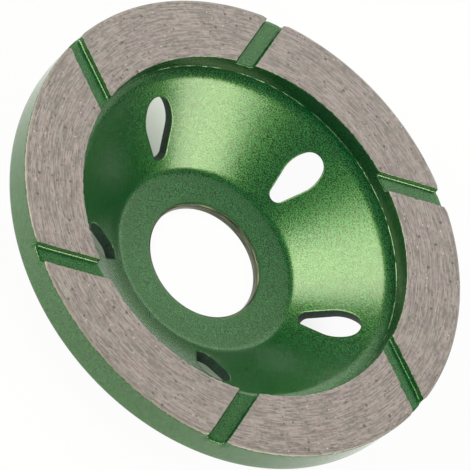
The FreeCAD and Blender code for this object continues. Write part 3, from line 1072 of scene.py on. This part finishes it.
    def pit_depth(self, place: Vector, edge: float) -> float:
        """How deep the ground face is pitted or chipped at a point.

        Args:
            place: The point.
            edge: Its distance from the segment's nearest edge.

        Returns:
            The depth.
        """
        distances, seeds = noise.voronoi(place / self.pit_spacing)
        chosen = noise.cell(seeds[0] * 7.3)
        pit = 0.0
        if abs(chosen) > self.pit_share:
            pit = self.pit_depth_most * (1 - smooth_step(0.1, 0.34, distances[0]))
        chip = max(0.0, wander(place + Vector((17, 0, 0)), 0.7) - 0.1) * 0.4
        rough = self.roughness_depth * abs(wander(place, 0.4))
        return pit + chip * (1 - smooth_step(0.0, 0.35, edge)) + rough

    def bead_at(self, place: Vector, radius: float, height: float) -> float:
        """How full the broken bead of paint is where the inner wall meets the flange."""
        if radius > self.inner_radius + self.tolerance or height > self.seat_height + 0.3:
            return 0.0
        middle = math.exp(-((height - self.seat_height - 0.1) / 0.08) ** 2)
        return middle * clamp(0.7 + wander(place, 1.3), 0.1, 1.0)

    def build(self) -> bpy.types.Object:
        """Model the ring.

        Returns:
            The piece that stands for the diamond ring.
        """
        shape = bmesh.new()
        spin_section(shape, self.section(), self.sector_columns * self.segment_count, closed=True)
        self.press(shape)
        bmesh.ops.recalc_face_normals(shape, faces=shape.faces)
        return finish_piece(shape, "diamond_ring_body", "diamond_ring", [self.finish])


@dataclass(frozen=True)
class Softbox:
    """A large soft lamp, seen from the wheel as a rectangle of sky."""

    name: str
    azimuth: float
    elevation: float
    width: float
    height: float
    radiance: float
    tint: Triple = (1.0, 1.0, 1.0)
    distance: float = 0.6

    def place(self) -> bpy.types.Object:
        """Hang the lamp and turn it to the wheel.

        Returns:
            The lamp.
        """
        lamp = bpy.data.lights.new(self.name, "AREA")
        lamp.color = self.tint
        lamp.shape = "RECTANGLE"
        lamp.size = 2 * self.distance * math.tan(math.radians(self.width / 2))
        lamp.size_y = 2 * self.distance * math.tan(math.radians(self.height / 2))
        lamp.energy = self.radiance * math.pi * lamp.size * lamp.size_y
        towards = direction(self.azimuth, self.elevation)
        box = add_object(self.name, lamp)
        box.rotation_euler = towards.to_track_quat("Z", "Y").to_euler()
        box.location = towards * self.distance
        box.visible_camera = False
        return box


@dataclass(frozen=True)
class Viewpoint:
    """Where the picture was taken from."""

    azimuth: float = -91.7
    elevation: float = 49.325
    roll: float = 49.976
    distance: float = 834.91
    lens: float = 357.353
    face_right: float = 2.361
    face_up: float = 2.005
    face_height: float = top_of("diamond_ring")

    def place(self) -> bpy.types.Object:
        """Make the scene's camera.

        Returns:
            The camera.
        """
        outwards = direction(self.azimuth, self.elevation)
        level = (-outwards).cross(WHEEL_AXIS).normalized()
        upright = level.cross(-outwards)
        roll = math.radians(self.roll)
        right = math.cos(roll) * level + math.sin(roll) * upright
        up = outwards.cross(right)
        face = WHEEL_AXIS * self.face_height
        lens = bpy.data.cameras.new("camera")
        lens.lens = self.lens
        camera = add_object("camera", lens)
        spot = face - right * self.face_right - up * self.face_up + outwards * self.distance
        turned = Matrix((right, up, outwards)).transposed().to_4x4()
        camera.matrix_world = Matrix.Translation(spot * MM) @ turned
        bpy.context.scene.camera = camera
        return camera


@dataclass
class Studio:
    """White floor with a low upturned rim, soft lamps, dim surroundings and the camera, in metres."""

    floor_radius: float = 3.0
    floor_upturn: float = 0.4
    floor_drop: float = 0.00002
    floor_columns: int = 72
    surroundings: float = 0.22
    surrounding_tint: Triple = (0.94, 1.0, 1.0)
    boxes: tuple[Softbox, ...] = (
        Softbox("softbox_left", 203.0, 38.5, 56.0, 25.0, 7.0, (1.0, 0.94, 0.8)),
        Softbox("softbox_right", -10.5, 35.5, 46.0, 23.0, 7.2, (1.0, 0.94, 0.8)),
        Softbox("card_far", 100.0, 26.5, 60.0, 49.0, 1.2),
    )
    view: Viewpoint = field(default_factory=Viewpoint)

    def lay_floor(self) -> bpy.types.Object:
        """Lay the floor that the hub rests on, turned up at its rim as a low backdrop."""
        shape = bmesh.new()
        flat = self.floor_radius - self.floor_upturn
        level = -self.floor_drop
        rim = arc_points((flat, level + self.floor_upturn), self.floor_upturn, -90, 0, 8)
        spin_section(shape, [(0.0, level), (0.2, level), *rim], self.floor_columns)
        bmesh.ops.remove_doubles(shape, verts=shape.verts, dist=0.0001)
        turn_faces_up(shape)
        mesh = bpy.data.meshes.new("floor")
        shape.to_mesh(mesh)
        shape.free()
        mesh.materials.append(StudioPaper().build())
        floor = add_object("floor", mesh)
        return floor

    def light_surroundings(self) -> None:
        """Give the world a dim even light."""
        world = bpy.data.worlds.new("surroundings")
        world.use_nodes = True
        dim = world.node_tree.nodes["Background"]
        dim.inputs["Color"].default_value = (*self.surrounding_tint, 1)
        dim.inputs["Strength"].default_value = self.surroundings
        bpy.context.scene.world = world

    def build(self) -> None:
        """Set up the studio."""
        bpy.context.scene.view_settings.view_transform = "Standard"
        self.view.place()
        self.lay_floor()
        self.light_surroundings()
        for box in self.boxes:
            box.place()


def main() -> None:
    """Build the studio and the wheel, and report each piece."""
    logging.basicConfig(level=logging.INFO, format="%(name)s: %(message)s")
    Studio().build()
    paint = GreenPaint()
    cup = SteelCup(paint.build(), WORN_BORE.build(), VENT_CUT_SHADED.build()).build()
    ring = DiamondRing(DiamondMatrix(paint).build()).build()
    LOG.info("pieces: %s", ", ".join(piece.name for piece in (cup, ring)))


if __name__ == "__main__":
    main()
